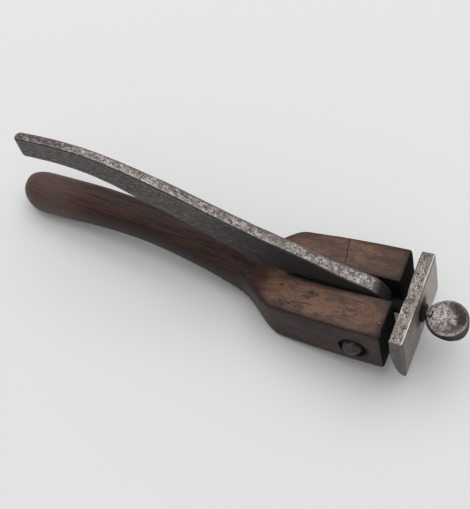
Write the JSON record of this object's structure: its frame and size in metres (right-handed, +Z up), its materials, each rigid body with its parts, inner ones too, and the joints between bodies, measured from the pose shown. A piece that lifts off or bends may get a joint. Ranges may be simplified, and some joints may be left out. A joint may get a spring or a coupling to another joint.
{
  "type": "nutcracker",
  "caption": "Hand nutcracker with a dark carved wooden handle and forked head, an arched iron lever on a cross pin and an iron jaw plate set by a dished thumbscrew.",
  "frame": {"origin": "On the table under the middle of the whole object's box, with the tool lying as in the picture: on the head's heel and on the handle's end.", "axes": "+X from the handle to the jaw plate, +Y to the far side, +Z up. The head's front is raised by the angle at which the tool rests."},
  "size_m": [0.2284, 0.0528, 0.062],
  "materials": {
    "dark_wood": "dark, hand-polished hardwood with a brown figured grain, worn at the edges",
    "lever_iron": "forged iron, dark and mottled on the sides, rubbed bright along the top",
    "plate_iron": "forged iron with pitted, streaky bright edges and a smooth grey face",
    "screw_iron": "bright worn iron with brown stains in the dish",
    "pin_iron": "dark iron, dull",
    "brass": "dull yellow brass"
  },
  "bodies": {
    "body": {"wooden_body": "dark_wood", "pivot_pin": "pin_iron", "brass_pin": "brass"},
    "lever": {"lever": "lever_iron"},
    "jaw": {"jaw_plate": "plate_iron"},
    "screw": {"thumbscrew": "screw_iron", "retaining_ring": "pin_iron"}
  },
  "joints": [
    {"name": "lever_pivot", "type": "hinge", "parent": "body", "child": "lever", "pos_m": [0.06847, 0.0008, 0.01825], "axis": [0, 1, 0], "range_deg": [0, 20]},
    {"name": "jaw_adjust", "type": "slide", "parent": "lever", "child": "jaw", "axis": [0.9763, 0, 0.2165], "range_m": [0, 0.0035]},
    {"name": "thumbscrew_turn", "type": "hinge", "parent": "jaw", "child": "screw", "pos_m": [0.09196, 0.0008, 0.02776], "axis": [0.9763, 0, 0.2165], "range_deg": [0, 840]}
  ],
  "couplings": [
    {"joint": "thumbscrew_turn", "follows": "jaw_adjust", "rad_per_m": 4188.8}
  ]
}
